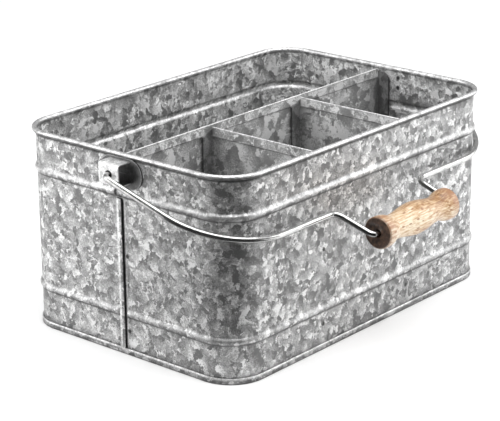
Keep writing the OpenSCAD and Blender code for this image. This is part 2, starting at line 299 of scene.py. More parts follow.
def attribute(name):
    # One of the marks that the mesh carries
    return put("ShaderNodeAttribute", attribute_name=name).outputs["Fac"]


def centred(colour):
    # A colour's three parts, less a half each
    return vector("SUBTRACT", colour, (0.5, 0.5, 0.5))


def crystals(at, look, scale, metric):
    # One layer of zinc crystals: cells, each with its own tone that slopes across it,
    # and with streaks in its own direction
    cell = put("ShaderNodeTexVoronoi", [("Vector", at), ("Scale", scale)], distance=metric)
    own = cell.outputs["Color"]
    parts = put("ShaderNodeSeparateColor", [("Color", own)]).outputs
    within = vector("SUBTRACT", at, cell.outputs["Position"])
    across = vector("DOT_PRODUCT", within, centred(own))
    slope = times(across, look["slope"] * scale)
    turn = vector("SCALE", own, look["streakTurn"])
    turned = put("ShaderNodeVectorRotate", [("Vector", at), ("Rotation", turn)],
                 rotation_type="EULER_XYZ").outputs[0]
    drawn = vector("MULTIPLY", turned, look["streakStretch"])
    streak = noise(drawn, look["streaks"], detail=3.0, rough=0.65)
    feather = times(calc("SUBTRACT", streak, 0.5), look["feather"])
    tone = calc("ADD", calc("ADD", parts["Red"], slope), feather)
    return {"own": own, "parts": parts, "tone": tone, "streak": streak}


def spangled(name, look):
    # Zinc crystals of two sizes with torn edges; duller and paler inside, as painted light; bright and even
    # in painted highlights
    material, shader, at = newMaterial(name)
    swing = centred(noise(at, look["tearScale"], detail=3.0, rough=0.7, output="Color"))
    sweep = centred(noise(at, look["warpScale"], detail=1.0, output="Color"))
    torn = vector("ADD", vector("ADD", at, vector("SCALE", swing, look["tear"])),
                  vector("SCALE", sweep, look["warp"]))
    big = crystals(torn, look, look["cells"], "MANHATTAN")
    small = crystals(torn, look, look["cells"] * look["finer"], "CHEBYCHEV")
    # Small crystals fill a share of the big cells
    broken = calc("GREATER_THAN", big["parts"]["Blue"], look["bigShare"])
    grit = calc("SUBTRACT", noise(at, look["speckleScale"], rough=0.7), 0.5)
    tone = calc("ADD", blend(broken, big["tone"], small["tone"]), times(grit, look["speckle"]))
    grime, inner, worn = (attribute(key) for key in ("grime", "inner", "worn"))
    # Inside faces take the paler inner tones: a lit copy of the zinc, as painted light
    grey = mix(inner, ramp(tone, look["tones"]), ramp(tone, look["innerTones"]))
    # The painted highlight, broken into patches by noise
    highlightShare = times(worn, ramp(noise(at, look["highlightBreakupScale"], rough=0.6), look["highlightBreakup"]))
    grey = mix(highlightShare, grey, ramp(big["streak"], look["highlightTones"]))
    # The dark colour of real grime, as on the weld marks, and of painted shade
    stainAndShade = ramp(noise(at, look["stainAndShadeScale"], detail=3.0, rough=0.6), look["stainAndShade"])
    dull = calc("ADD", big["parts"]["Green"], times(grime, look["grimeAndShadeDull"]))
    metal = blend(inner, look["metallic"], look["innerMetallic"])
    metal = blend(highlightShare, metal, look["highlightMetallic"])
    # Each crystal reflects its own way
    shape = put("ShaderNodeNewGeometry").outputs["Normal"]
    tilt = times(calc("SUBTRACT", 1.0, highlightShare), blend(inner, look["tilt"], look["innerTilt"]))
    lean = vector("SCALE", centred(big["own"]), tilt)
    normal = vector("NORMALIZE", vector("ADD", shape, lean))
    swell = noise(at, look["waveScale"], detail=1.0, rough=0.4)
    wavy = bump(swell, look["wave"], normal)
    feed(shader, [
        ("Base Color", mix(grime, grey, stainAndShade)),
        ("Roughness", blend(highlightShare, ramp(dull, look["gloss"]), look["highlightGloss"])),
        ("Metallic", calc("SUBTRACT", metal, times(grime, look["grimeAndShadeCover"]), clamp=True)),
        ("Normal", bump(big["streak"], look["grain"], wavy)),
    ])
    return material


zinc = {
    "cells": 165.0,  # per metre
    "finer": 2.1,  # the small crystals, against the big ones
    "bigShare": 0.72,
    "slope": 1.5,
    "warpScale": 70.0, "warp": 0.006,
    "tearScale": 420.0, "tear": 0.0052,
    "streaks": 760.0, "streakStretch": (1.0, 1.0, 0.2), "streakTurn": 6.28, "feather": 1.05,
    "speckleScale": 1150.0, "speckle": 1.7,
    "tones": [(0.0, 0.16), (0.3, 0.27), (0.6, 0.38), (0.85, 0.53), (1.0, 0.76)],
    # Paler tones for the inside faces, as painted light
    "innerTones": [(0.0, 0.22), (0.3, 0.43), (0.6, 0.66), (0.85, 0.92), (1.0, 1.0)],
    "gloss": [(0.0, 0.31), (1.0, 0.47)],
    "metallic": 0.76, "innerMetallic": 0.5,
    # The painted highlight: the noise that breaks it up, its tones, its gloss and its metal
    "highlightBreakupScale": 130.0, "highlightBreakup": [(0.36, 0.45), (0.54, 0.95)],
    "highlightTones": [(0.3, 0.35), (0.6, 0.96)], "highlightGloss": 0.28, "highlightMetallic": 0.95,
    # The dark colour for grime and for painted shade
    "stainAndShadeScale": 300.0, "stainAndShade": [(0.35, 0.01), (0.7, 0.05)],
    "grimeAndShadeDull": 0.5, "grimeAndShadeCover": 0.4,  # how much duller grime and painted shade make it, and how much metal they hide
    "tilt": 0.055, "innerTilt": 0.3,
    "waveScale": 14.0, "wave": 0.0022,
    "grain": 0.0003,
}
zincSheet = spangled("zincSheet", zinc)
zincBase = spangled("zincBase", {**zinc, "cells": 170.0, "tones": [(0.0, 0.10), (0.5, 0.22), (1.0, 0.5)]})
# The dividers take the paler inner tones, as painted light
zincPlate = spangled("zincPlate", {**zinc, "cells": 105.0, "innerMetallic": 0.4, "innerTilt": 0.16,
                                   "innerTones": [(0.0, 0.32), (0.35, 0.48), (0.58, 0.68), (0.76, 1.0)]})
# The ears' paler tones are painted light, for the strap's lit front
zincEar = spangled("zincEar", {**zinc, "cells": 240.0, "feather": 0.3,
                               "tones": [(0.0, 0.5), (0.5, 0.78), (1.0, 1.0)]})


def brightWire(name, look):
    # Drawn wire: streaks that run along it, worn duller in places, and painted shade on the underside
    material, shader, at = newMaterial(name)
    along = put("ShaderNodeUVMap", uv_map="along").outputs["UV"]
    streak = noise(vector("MULTIPLY", along, look["streaks"]), 1.0, rough=0.6)
    sheenAndWear = ramp(noise(at, look["wearScale"], detail=3.0, rough=0.6), look["tones"])
    feed(shader, [
        ("Base Color", mix(attribute("grime"), sheenAndWear, look["under"])),
        ("Roughness", ramp(streak, look["gloss"])),
        ("Metallic", 1.0),
        ("Normal", bump(streak, look["grain"])),
    ])
    return material


wireFinish = brightWire("drawnWire", {
    "streaks": (9.0, 60.0, 1.0),  # round the wire, and along it
    "wearScale": 160.0,
    "tones": [(0.3, (0.44, 0.44, 0.44)), (0.65, (0.68, 0.68, 0.67))],
    # The colour of the painted shade
    "under": (0.05, 0.05, 0.05),
    "gloss": [(0.25, 0.14), (0.8, 0.26)],
    "grain": 0.00003,
})


def turnedWood(name, look):
    # Grain runs along the grip: noise and flecks drawn out along X, stained end faces, and a bore darkened
    # as painted shade
    material, shader, at = newMaterial(name)
    along = vector("MULTIPLY", at, look["grainStretch"])
    figure = noise(along, look["grain"], detail=4.0, rough=0.62)
    patch = noise(vector("MULTIPLY", at, look["patchStretch"]), look["patches"])
    wood = ramp(blend(look["patchShare"], figure, patch), look["tones"])
    cells = put("ShaderNodeTexVoronoi",
                [("Vector", vector("MULTIPLY", at, look["fleckStretch"])), ("Scale", look["flecks"])])
    chance = put("ShaderNodeSeparateColor", [("Color", cells.outputs["Color"])]).outputs["Red"]
    near = calc("LESS_THAN", cells.outputs["Distance"], look["fleckSize"])
    fleck = times(near, calc("GREATER_THAN", chance, look["plainShare"]))
    wood = mix(times(fleck, look["fleckDepth"]), wood, look["fleckColour"])
    toasted = times(attribute("inner"), ramp(figure, look["toastBreaks"]))
    wood = mix(toasted, wood, look["toast"])
    dirtAndShade = attribute("grime")
    stainAndShade = ramp(noise(at, look["stainAndShadeScale"], detail=3.0, rough=0.6), look["stainAndShade"])
    dull = calc("ADD", figure, times(dirtAndShade, look["stainAndShadeDull"]))
    feed(shader, [
        ("Base Color", mix(dirtAndShade, wood, stainAndShade)),
        ("Roughness", ramp(dull, look["gloss"])),
        ("Normal", bump(figure, look["grainDepth"])),
        ("Coat Weight", look["lacquer"]),
        ("Coat Roughness", look["lacquerGloss"]),
    ])
    return material


woodFinish = turnedWood("turnedWood", {
    "grain": 850.0, "grainStretch": (0.11, 1.0, 1.0), "grainDepth": 0.00012,
    "patches": 41.0, "patchStretch": (0.5, 1.0, 1.0), "patchShare": 0.5,
    "tones": [(0.36, (0.18, 0.08, 0.03)), (0.45, (0.38, 0.21, 0.09)), (0.52, (0.58, 0.41, 0.25)),
              (0.60, (0.78, 0.69, 0.53))],
    "flecks": 640.0, "fleckStretch": (0.4, 1.0, 1.0), "plainShare": 0.86, "fleckSize": 0.42,
    "fleckDepth": 0.8, "fleckColour": (0.26, 0.11, 0.04),
    "toast": (0.34, 0.17, 0.09),  # towards the ends
    "toastBreaks": [(0.4, 1.0), (0.62, 0.45)],
    # The dark colour for the stained end faces and for the painted shade in the bore
    "stainAndShadeScale": 420.0,
    "stainAndShade": [(0.35, (0.022, 0.012, 0.008)), (0.68, (0.105, 0.058, 0.036))],
    "stainAndShadeDull": 0.3,
    "gloss": [(0.2, 0.30), (0.9, 0.52)],
    "lacquer": 0.4, "lacquerGloss": 0.2,
})


# The tub's outline

def tubOutline(fromY, toY, nearSteps=()):
    # Round the rectangle from one place on the left wall to another, the long way: middle points and normals
    r = tub["cornerRadius"]
    coreX, coreY = tub["halfLength"] - r, tub["halfDepth"] - r
    quarter = np.radians(np.linspace(0.0, 90.0, tub["cornerSteps"] + 1))
    centres, angles = [], []
    corners = ((180.0, -coreX, -coreY), (270.0, coreX, -coreY), (0.0, coreX, coreY), (90.0, -coreX, coreY))
    for turn, x, y in corners:
        centres.append(np.tile([x, y], (len(quarter), 1)))
        angles.append(quarter + math.radians(turn))
    first = [[-coreX, fromY]] + [[-coreX, fromY - step] for step in nearSteps]
    last = [[-coreX, toY + step] for step in nearSteps[::-1]] + [[-coreX, toY]]
    centres = np.concatenate([first, *centres, last])
    angles = np.concatenate([np.full(len(first), math.pi), *angles, np.full(len(last), math.pi)])
    normals = stacked(np.cos(angles), np.sin(angles))
    both = withSteps(np.column_stack([centres, normals]), tub["straightStep"])
    both[:, 2:] = unit(both[:, 2:])
    return both[:, :2], both[:, 2:]


def roundTub(outline, section):
    # Carries a section (outwards from the wall's outer face, up) round the outline: rows x cols x 3
    centres, normals = outline
    reach = np.broadcast_to(tub["cornerRadius"] + section[..., 0], (len(centres), section.shape[-2]))
    height = np.broadcast_to(section[..., 1], reach.shape)
    flat = centres[:, None, :] + reach[..., None] * normals[:, None, :]
    return np.concatenate([flat, height[..., None]], axis=2)


# The wall

wall = {
    "beads": (119.5, 31.0),  # heights of the two beads
    "beadProud": 1.5, "beadHalf": 2.9,
    "beadSoft": 0.7,  # how far the bead's edges are rounded off
    "beadEnd": 1.4,  # how far from the seam the beads reach their full height
    "beadRows": (5.2, 0.4),  # reach and step of the close rows at a bead
    "rowStep": 9.0,
    "foot": (0.35, 0.85, 4.0, 3.0, 0.28),  # how far out; heights of fold, edge and joint; bend
    "joggle": 0.45,
    "joggleRise": (143.2, 4.0),
    "curlRadius": 1.6, "curlOut": 0.9, "curlStart": 147.4, "curlEnd": -118.0,
    "seamNear": -0.9,  # the window that the lock seam fills, along Y
    "seamFar": 5.5,
    "seamFoot": 4.7, "seamTop": 115.8,
    "seamColumns": (0.35, 0.7, 1.05, 1.4, 3.0),
    # Painted shade and painted highlights: height (at a bead, over its middle), width (below nought,
    # downwards) and share
    "beadHighlight": (0.8, 0.45),
    "footShade": (4.9, 0.5, 0.6),
    "beadShade": (-2.5, 0.9, 0.85),
    "beadShine": (1.2, 1.3, 1.0),
    "joggleShade": (143.6, 1.5, 0.9),
    "rimShade": (146.6, 0.7, 0.8),
    "ledgeShade": (2.0, 1.0, 0.55),
    "hollowShine": (-1.4, 1.2, 1.0),
    "deepShade": (112.0, -25.0, 0.6),
    "curlShade": (0.5, -0.9, 0.7),
    "curlFoot": 145.5, "rimInside": 147.0,
    "highlightColumns": 4,  # painted highlight beside the seam
}


def band(z, mark, base=0.0):
    # Share times a bell round the mark's height over the base
    height, width, share = mark
    return share * bell(z, base + height, width)


def rising(z, mark, base=0.0):
    # Share times a smooth step from the mark's height over the base to one width further on
    height, width, share = mark
    return share * smooth((z - (base + height)) / width)


def beadShape(z):
    # Height of an arc of the given rise over its half width, averaged over a short way up and down
    half, rise = wall["beadHalf"], wall["beadProud"]
    r = (half * half + rise * rise) / (2 * rise)
    spread = np.linspace(-1.0, 1.0, 13) * wall["beadSoft"]
    total = np.zeros_like(z)
    for middle in wall["beads"]:
        off = z[:, None] - middle + spread[None]
        arc = np.sqrt(np.maximum(r * r - off * off, 0.0)) - (r - rise)
        total += np.maximum(arc, 0.0).mean(axis=1)
    return total


def wallSection():
    # The sheet's middle line from its turned-up foot, up the wall and round the curl of the rim
    inwards = -tub["sheet"] / 2
    reach, fine = wall["beadRows"]
    joggleFoot, joggleHeight = wall["joggleRise"]
    rows = [np.arange(-reach, reach + 0.01, fine) + middle for middle in wall["beads"]]
    rows += [np.arange(wall["rowStep"], joggleFoot, wall["rowStep"]), [wall["seamFoot"], wall["seamTop"]]]
    levels = np.sort(np.concatenate(rows))
    levels = levels[np.concatenate([[True], np.diff(levels) > 0.05])]
    out, low, edge, join, bend = wall["foot"]
    foot = bentPath([[out, edge], [out, low], [inwards, low], [inwards, join]], [0, bend, bend, 0], 30)
    rise = np.linspace(0.0, 1.0, 9)
    joggle = stacked(inwards - wall["joggle"] * smooth(rise), joggleFoot + joggleHeight * rise)
    joggle[-1] = [wall["curlOut"] - wall["curlRadius"], wall["curlStart"]]
    angle = np.radians(np.linspace(180.0, wall["curlEnd"], 38))[1:]
    curl = stacked(wall["curlOut"] + wall["curlRadius"] * np.cos(angle),
                   tub["rimHeight"] + wall["curlRadius"] * np.sin(angle))
    return np.concatenate([foot, stacked(inwards, levels), joggle, curl])


def wallMarks(middle, rows):
    # Painted shade under the beads, at the foot and below the curl; painted highlights on the beads, the rim
    # and beside the seam
    out, z = middle[:, 0], middle[:, 1]
    inside = (out < 0.0) & (z > 1.0)
    dirtAndShade = np.maximum(band(z, wall["footShade"]),
                      rising(z, wall["joggleShade"]) * (out < 0.0) * (z < wall["rimInside"] + 0.3))
    worn = np.zeros(len(z))
    for bead, share in zip(wall["beads"], wall["beadHighlight"]):
        dirtAndShade = np.maximum(dirtAndShade, band(z, wall["beadShade"], bead))
        worn = np.maximum(worn, share * band(z, wall["beadShine"], bead))
    curl = (z > wall["curlFoot"]) & ~((out < -0.2) & (z < wall["rimInside"]))
    crest = np.where(curl & (z > tub["rimHeight"] - 0.2), 1.0, 0.0)
    # Inside, painted shade under the rim, above each bead and in the depth, and painted highlights in the
    # beads' hollows
    innerShade = np.maximum(band(z, wall["rimShade"]), rising(z, wall["deepShade"]))
    innerHighlight = crest
    for bead in wall["beads"]:
        innerShade = np.maximum(innerShade, band(z, wall["ledgeShade"], bead))
        innerHighlight = np.maximum(innerHighlight, band(z, wall["hollowShine"], bead) * inside)
    # A painted highlight on the curl's top, and painted shade on its underside and its outermost line
    shade = np.where(curl & (out > 0.5), rising(z, wall["curlShade"], tub["rimHeight"]), 0.0)
    innerShade = np.maximum(innerShade * inside, shade)
    # Inside faces take the paler inner tones, as painted light
    inner = np.where(inside & (z < wall["rimInside"]), 1.0, 0.0)
    pairs = {"grime": (innerShade, dirtAndShade), "worn": (innerHighlight, np.maximum(worn, crest)),
             "inner": (inner, 0.0 * inner)}
    marks = {key: (np.tile(a, rows), np.tile(b, rows)) for key, (a, b) in pairs.items()}
    edge = (z >= wall["seamFoot"]) & (z <= wall["seamTop"]) & (out < 0.0)
    marks["worn"][1].reshape(rows, -1)[:wall["highlightColumns"], edge] = 1.0
    return marks


def wallShell():
    # The section carried round the tub; the beads die out beside the seam, whose window stays open
    outline = tubOutline(wall["seamNear"], wall["seamFar"], wall["seamColumns"])
    middle = wallSection()
    out, z = middle[:, 0], middle[:, 1]
    bulge = beadShape(z)
    along = outline[0][:, 1]
    onLeft = np.isclose(outline[1][:, 0], -1.0)
    nearSide = along < (wall["seamNear"] + wall["seamFar"]) / 2
    away = np.where(nearSide, wall["seamNear"] - along, along - wall["seamFar"])
    fade = smooth(np.where(onLeft, away, np.inf) / wall["beadEnd"])

    def bulged(flat):
        section = np.tile(flat, (len(along), 1, 1))
        section[..., 0] += fade[:, None] * bulge
        return roundTub(outline, section)

    cells = np.ones((len(along), len(middle) - 1), bool)
    low, high = wall["seamFoot"] - 0.01, wall["seamTop"] + 0.01
    cells[-1, (z[:-1] >= low) & (z[1:] <= high) & (out[:-1] < 0.0)] = False
    quads = gridQuads(len(along), len(middle), wrapRows=True, keep=cells)
    return thickSheet(*bothFaces(middle, bulged), quads, wallMarks(middle, len(along)))


seam = {
    "middle": 1.8,  # along Y
    "proud": 1.8,
    "half": 1.7,
    "slit": 0.42,  # between the wall and the folded edge
    "slope": (3.25, 2.65),  # where the outer sheet leaves the wall, and where it is fully out
    "slopeBends": (0.4, 0.45),
    "tuck": 1.4,  # how far it reaches back under itself
    "hook": (2.45, 0.95, -0.6),  # the inner edge: where it rises, how high, and where it ends
    "hookBend": 0.55,
    # The painted highlight's strength
    "sheenAndWear": 1.1,
}


def seamShells():
    # Two folded edges that hold each other, as flat plans carried up the wall
    h = tub["sheet"] / 2
    top = seam["proud"] - h
    foldR = (top - seam["slit"] - h) / 2
    left = -seam["half"] + h
    far = wall["seamFar"] - seam["middle"]
    near = wall["seamNear"] - seam["middle"]
    (leave, arrive), (riseAt, riseTo, hookEnd), bend = seam["slope"], seam["hook"], seam["hookBend"]
    over = withSteps(bentPath(
        [[far, -h], [leave, -h], [arrive, top], [left, top],
         [left, top - 2 * foldR], [seam["tuck"], top - 2 * foldR]],
        [0, *seam["slopeBends"], foldR, foldR, 0], 15), 0.4)
    under = withSteps(bentPath([[near, -h], [riseAt, -h], [riseAt, riseTo], [hookEnd, riseTo]],
                               [0, bend, bend, 0], 15), 0.4)
    levels = np.linspace(wall["seamFoot"], wall["seamTop"], 40)

    def upTheWall(flat):
        return stacked(-tub["halfLength"] - flat[:, 1], seam["middle"] + flat[:, 0], levels[:, None])

    # Painted shade lies in the folds; what stands out and what is beside the slit gets a painted highlight
    overShade = (over[:, 1] < top - 0.15) & (over[:, 0] < seam["tuck"] + 0.1)
    overHighlight = (over[:, 0] > 0.6) & (over[:, 0] < leave + 0.25) & (over[:, 1] > 0.3)
    underShade = under[:, 0] > near + 0.7
    underHighlight = under[:, 0] < near + 0.5
    shells = []
    for plan, dirtAndShade, worn in ((over, overShade, overHighlight), (under, underShade, underHighlight)):
        marks = tiled(len(levels), grime=dirtAndShade, worn=worn * seam["sheenAndWear"])
        shells.append(thickSheet(*bothFaces(plan, upTheWall), gridQuads(len(levels), len(plan)), marks))
    return shells


makePiece("wallSheet", [wallShell()], "tub", ["tub_wall"], zincSheet)
makePiece("lockSeam", seamShells(), "tub", ["tub_wall"], zincSheet)


# The floor pan

pan = {
    "hemHeight": 4.6,
    "legOut": 0.95,  # middle of the outer leg
    "lipEnd": 0.12,
    "bends": (0.4, 0.5),
    "floorInset": 24.0,
    "legRows": (3.4, 2.6, 1.9, 1.3),  # close rows for the marks
    "floorRows": (-2.0, -10.0),
    "hemShine": (-0.5, 0.7, 1.0),  # painted highlight: height over the hem, width, share
    # Painted shade at the foot of the leg
    "footShade": (1.6, -1.4, 0.85),
}


def panShell():
    # The hem's middle line from its lip, down the leg and in under the wall, closed by two flat plates
    h, leg = tub["sheet"] / 2, pan["legOut"]
    lip = pan["hemHeight"] - h
    line = bentPath([[pan["lipEnd"], lip], [leg, lip], [leg, h], [-pan["floorInset"], h]],
                    [0, *pan["bends"], 0], 18)
    low = np.argmax(np.abs(np.diff(line[:, 1]))) + 1
    line = np.concatenate([line[:low], [[leg, z] for z in pan["legRows"]], line[low:-1],
                           [[x, h] for x in pan["floorRows"]], line[-1:]])
    # The outline's last point all but meets its first one, so it goes
    outline = [part[:-1] for part in tubOutline(0.0, 0.01)]
    faces = bothFaces(line, lambda flat: roundTub(outline, flat))
    rows, cols = len(outline[0]), len(line)
    quads = gridQuads(rows, cols, wrapRows=True)
    edge = borderEdges(quads)
    edge = edge[(edge % cols != cols - 1).any(axis=1)]
    high = [face[:, 2].mean() for face in faces]
    out, z = line.T
    # A painted highlight along the hem's top, and painted shade at its foot
    marks = tiled(rows, worn=band(z, pan["hemShine"], pan["hemHeight"]) * (out > 0.3),
                  grime=rising(z, pan["footShade"]) * (out > 0.0))
    # The floor's top face takes the paler inner tones, as painted light
    marks["inner"] = tuple(np.tile((out < -0.5) * float(level == max(high)), rows) for level in high)
    shell = thickSheet(*faces, quads, marks, edge)
    ring = np.arange(rows) * cols + cols - 1
    shell["faces"] += [ring[None], ring[None, ::-1] + rows * cols]
    return shell


makePiece("floorPan", [panShell()], "tub", ["floor_pan"], zincBase)


# The dividers

plates = {
    "foot": 0.55,
    "hemHeight": 7.5,
    "flange": 12.0,
    "flangeRound": 8.0, "flangeSlant": 4.0,
    "bend": 1.05,
    "long": {"length": 293.4, "top": 146.6, "flangeTop": 144.6, "lifts": (0.75, 0.75)},
    "cross": {"length": 102.15, "top": 145.0, "flangeTop": 143.0, "lifts": (0.9, 0.4)},
    "longBack": 3.0,
    "crossStart": 1.95,
    "crossPlaces": (-51.9, 48.1),  # the right face of each
    "foldStart": 1.3,
    "foldBend": 0.26,
    "foldGap": (1.62, 1.56),  # its leg's middle behind the plate, in sheets: at the edge, above
    "edgeShade": (1.0, 1.0, 0.95, 0.8, 0.35),  # painted shadow, from the flange's free edge inwards
    # Painted shade in the concave side of each bend
    "bendShade": (0.4, 0.6, 0.75),
    "cornerShade": (9.0, 0.8),  # painted shade towards the corners: reach in mm, share
    "deepShade": (-14.0, -50.0, 0.5),  # painted shade in the depth: height over the top, width, share
    # A painted shade line at the fold's lower edge
    "foldShade": 0.65,
}


def roundTop(out, top):
    # Flat, then down a quarter circle to the free edge
    r = plates["flangeRound"]
    past = np.maximum(out - (plates["flange"] - r), 0.0)
    return top - r + np.sqrt(np.maximum(r * r - past ** 2, 0.0))


def slantTop(out, top):
    # Straight down to the free edge
    return top - plates["flangeSlant"] * out / plates["flange"]


def dividerShells(look, flangeTop, place):
    # A bent plan line raised to its own height at every point, and the folded top edge along it
    t, reach, length = tub["sheet"], plates["flange"], look["length"]
    # A flange's free edge stands off the sheet it is welded to
    start, end = t / 2 + look["lifts"][0], length - t / 2 - look["lifts"][1]
    plan = bentPath([[start, -reach], [t / 2, -t / 2], [length - t / 2, -t / 2], [end, -reach]],
                    [0, plates["bend"], plates["bend"], 0], 15)
    # Points crowd towards the free edges, for the painted shadow there
    crowd = np.linspace(0.0, 1.0, 13)[:-1, None] ** 1.7
    first = plan[0] + (plan[1] - plan[0]) * crowd
    last = plan[-1] + (plan[-2] - plan[-1]) * crowd
    plan = np.concatenate([first, withSteps(plan[1:-1], 10.0), last[::-1]])
    out = -plan[:, 1] - t
    inset = np.minimum(plan[:, 0], length - plan[:, 0])
    onPlate = (inset > plates["foldStart"] - 0.05) & (plan[:, 1] > -0.6)
    top = np.where(onPlate, look["top"] - t, flangeTop(np.maximum(out, 0.0), look["flangeTop"]))
    share = np.linspace(0.0, 1.0, 24)[:, None]
    height = plates["foot"] + share * (top - plates["foot"])
    faces = bothFaces(plan, lambda flat: place(stacked(flat[:, 0], flat[:, 1], height)))
    dirtAndShade = np.zeros(len(plan))
    count = len(plates["edgeShade"])
    dirtAndShade[:count] = dirtAndShade[::-1][:count] = plates["edgeShade"]
    dirtAndShade = np.maximum(dirtAndShade, np.where(onPlate, 0.0, band(out, plates["bendShade"])))
    # Painted shade towards both corners and in the depth
    fadeOver, dull = plates["cornerShade"]
    dirtAndShade = np.maximum(dirtAndShade, dull * np.exp(-np.maximum(inset / fadeOver, 0.0)))
    depth = rising(height[:, :1], plates["deepShade"], look["top"])
    dirtAndShade = 1.0 - (1.0 - dirtAndShade) * (1.0 - depth)
    # Every face takes the paler inner tones, as painted light
    marks = {"grime": dirtAndShade.reshape(-1), "inner": np.ones(dirtAndShade.size)}
    sheet = thickSheet(*faces, gridQuads(len(share), len(plan)), marks)
    low, bend = look["top"] - plates["hemHeight"], plates["foldBend"]
    edgeGap, gap = plates["foldGap"]
    fold = withSteps(bentPath(
        [[-t * edgeGap, low], [-t * gap, low + 3.0], [-t * gap, look["top"] - t / 2],
         [-t / 2, look["top"] - t / 2], [-t / 2, look["top"] - t - 0.1]],
        [0, 0, bend, bend, 0], 15), 0.5)
    steps = np.linspace(plates["foldStart"], length - plates["foldStart"], 24)[:, None]
    faces = bothFaces(fold, lambda flat: place(stacked(steps, flat[:, 0], flat[:, 1])))
    # A painted shade line along the fold's lower edge, and a painted highlight along its top
    dirtAndShade = plates["foldShade"] * (fold[:, 1] < low + 0.7)
    edge = fold[:, 1] > look["top"] - 1.1
    marks = tiled(len(steps), grime=dirtAndShade, inner=np.ones(len(dirtAndShade)), worn=edge)
    return [sheet, thickSheet(*faces, gridQuads(len(steps), len(fold)), marks)]


def placeLong(points):
    # Its middle goes to the tub's middle
    return points + [-plates["long"]["length"] / 2, plates["longBack"], 0.0]


makePiece("longDivider", dividerShells(plates["long"], roundTop, placeLong), "tub", ["long_divider"],
          zincPlate)
for side, x in zip(("Left", "Right"), plates["crossPlaces"]):
    def placeCross(points):
        # A quarter turn to the right, then to its place along the tub
        return stacked(x + points[..., 1], plates["crossStart"] - points[..., 0], points[..., 2])
    makePiece("crossDivider" + side, dividerShells(plates["cross"], slantTop, placeCross), "tub",
              ["cross_divider_" + side.lower()], zincPlate)


# The ears

ears = {
    "middle": 135.0, "length": 39.4, "height": 22.0, "thick": 1.1,
    "pivot": 136.4,
    "strapWidth": 18.6, "strapHeight": 16.0, "strapReach": 13.0, "strapBend": 2.0,
    "strapGap": 0.6,  # between its legs' ends and the wall
    "hole": 6.2,
    "seat": 0.05,
    # The plate's rings from its back edge in: share of the half height, depth under the face, painted shade,
    # painted highlight
    "rings": [(1.0, 1.1, 0.97, 0.0), (1.0, 0.25, 0.97, 0.0), (0.985, 0.05, 0.0, 0.9),
              (0.965, 0.0, 0.85, 0.0), (0.5, 0.0, 1.0, 0.0), (0.04, 0.0, 1.0, 0.0)],
    "ends": (0.97, 0.9),  # painted shade behind the plate and in its middle
    "holeRings": (0.0, 0.06, 0.3, 0.65, 1.0),
    "cells": (12, 8),  # across the strap, and along its front
    "sharp": 35.0,
    "bevel": (0.12, 50.0),  # width, and the least turn that is worn round
}


def earPlate():
    # Rings of a shape with round ends, from its edge in to its middle line, in the strap's shade
    half, r = (ears["length"] - ears["height"]) / 2, ears["height"] / 2
    angle = np.radians(np.linspace(-90.0, 90.0, 25))
    centre = np.repeat([half, -half], len(angle))
    angle = np.concatenate([angle, angle + math.pi])
    share, deep, grime, worn = np.array(ears["rings"]).T
    rings = stacked(tub["halfLength"] + ears["seat"] + ears["thick"] - deep[:, None],
                    centre + np.cos(angle) * r * share[:, None],
                    ears["middle"] + np.sin(angle) * r * share[:, None])
    return roundTube(rings, {"grime": np.concatenate([np.repeat(grime, len(angle)), ears["ends"]]),
                             "worn": np.concatenate([np.repeat(worn, len(angle)), [0.0, 0.0]])})


def strapShell():
    # A flat strip with a hole in its middle, bent to a U: y runs along the wall, w along the strip
    t, wide = ears["thick"], ears["strapWidth"] / 2
    r = ears["strapBend"] - t / 2
    front = ears["strapHeight"] / 2 - ears["strapBend"]
    legs = ears["strapReach"] - ears["strapBend"] - ears["seat"] - ears["strapGap"]
    bend = r * math.pi / 2
    across, down = ears["cells"]
    yLine = np.linspace(-wide, wide, across + 1)
    wLine = np.linspace(-front, front, down + 1)
    border = np.concatenate([stacked(yLine[:-1], -front), stacked(wide, wLine[:-1]),
                             stacked(yLine[:0:-1], front), stacked(-wide, wLine[:0:-1])])
    angle = np.arctan2(border[:, 1], border[:, 0])
    circle = stacked(np.cos(angle), np.sin(angle)) * ears["hole"] / 2
    share = np.array(ears["holeRings"])[:, None, None]
    flat = [(circle + share * (border - circle)).reshape(-1, 2)]
    quads = [gridQuads(len(share), len(border), wrapCols=True)]
    start = len(flat[0])
    run = np.concatenate([np.linspace(0.0, bend, 9), [bend + legs]])
    for side in (-1.0, 1.0):
        grid = np.stack(np.meshgrid(side * (front + run), yLine, indexing="ij"), axis=-1)[..., ::-1]
        flat.append(grid.reshape(-1, 2))
        quads.append(gridQuads(len(run), len(yLine)) + start)
        start += len(flat[-1])
    flat, quads = np.concatenate(flat), np.concatenate(quads)
    # Points that fall together are made one, so that the strip is a single sheet
    _, first, same = np.unique(np.round(flat, 5), axis=0, return_index=True, return_inverse=True)
    flat, quads = flat[first], same.reshape(-1)[quads]
    w, side = np.abs(flat[:, 1]), np.sign(flat[:, 1])
    faces = []
    for offset in (t / 2, -t / 2):
        past = np.clip((w - front) / r, 0.0, math.pi / 2)
        straight = np.maximum(w - front - bend, 0.0)
        outward = ears["strapReach"] - ears["strapBend"] + (r + offset) * np.cos(past) - straight
        height = np.where(w <= front, flat[:, 1], side * (front + (r + offset) * np.sin(past)))
        faces.append(stacked(tub["halfLength"] + outward, flat[:, 0], ears["pivot"] + height))
    # The strap's inner face is painted dark as shade
    return thickSheet(*faces, quads, {"grime": (np.zeros(len(flat)), np.ones(len(flat)))})


def mirrored(shell):
    # The same shell on the other end
    return {**shell, "points": shell["points"] * [-1.0, 1.0, 1.0]}


for side, turned in (("Left", True), ("Right", False)):
    shells = [earPlate(), strapShell()]
    makePiece("ear" + side, [mirrored(s) for s in shells] if turned else shells, "tub",
              ["ear_" + side.lower()], zincEar, sharp=ears["sharp"], bevel=ears["bevel"])


# The bail and its grip

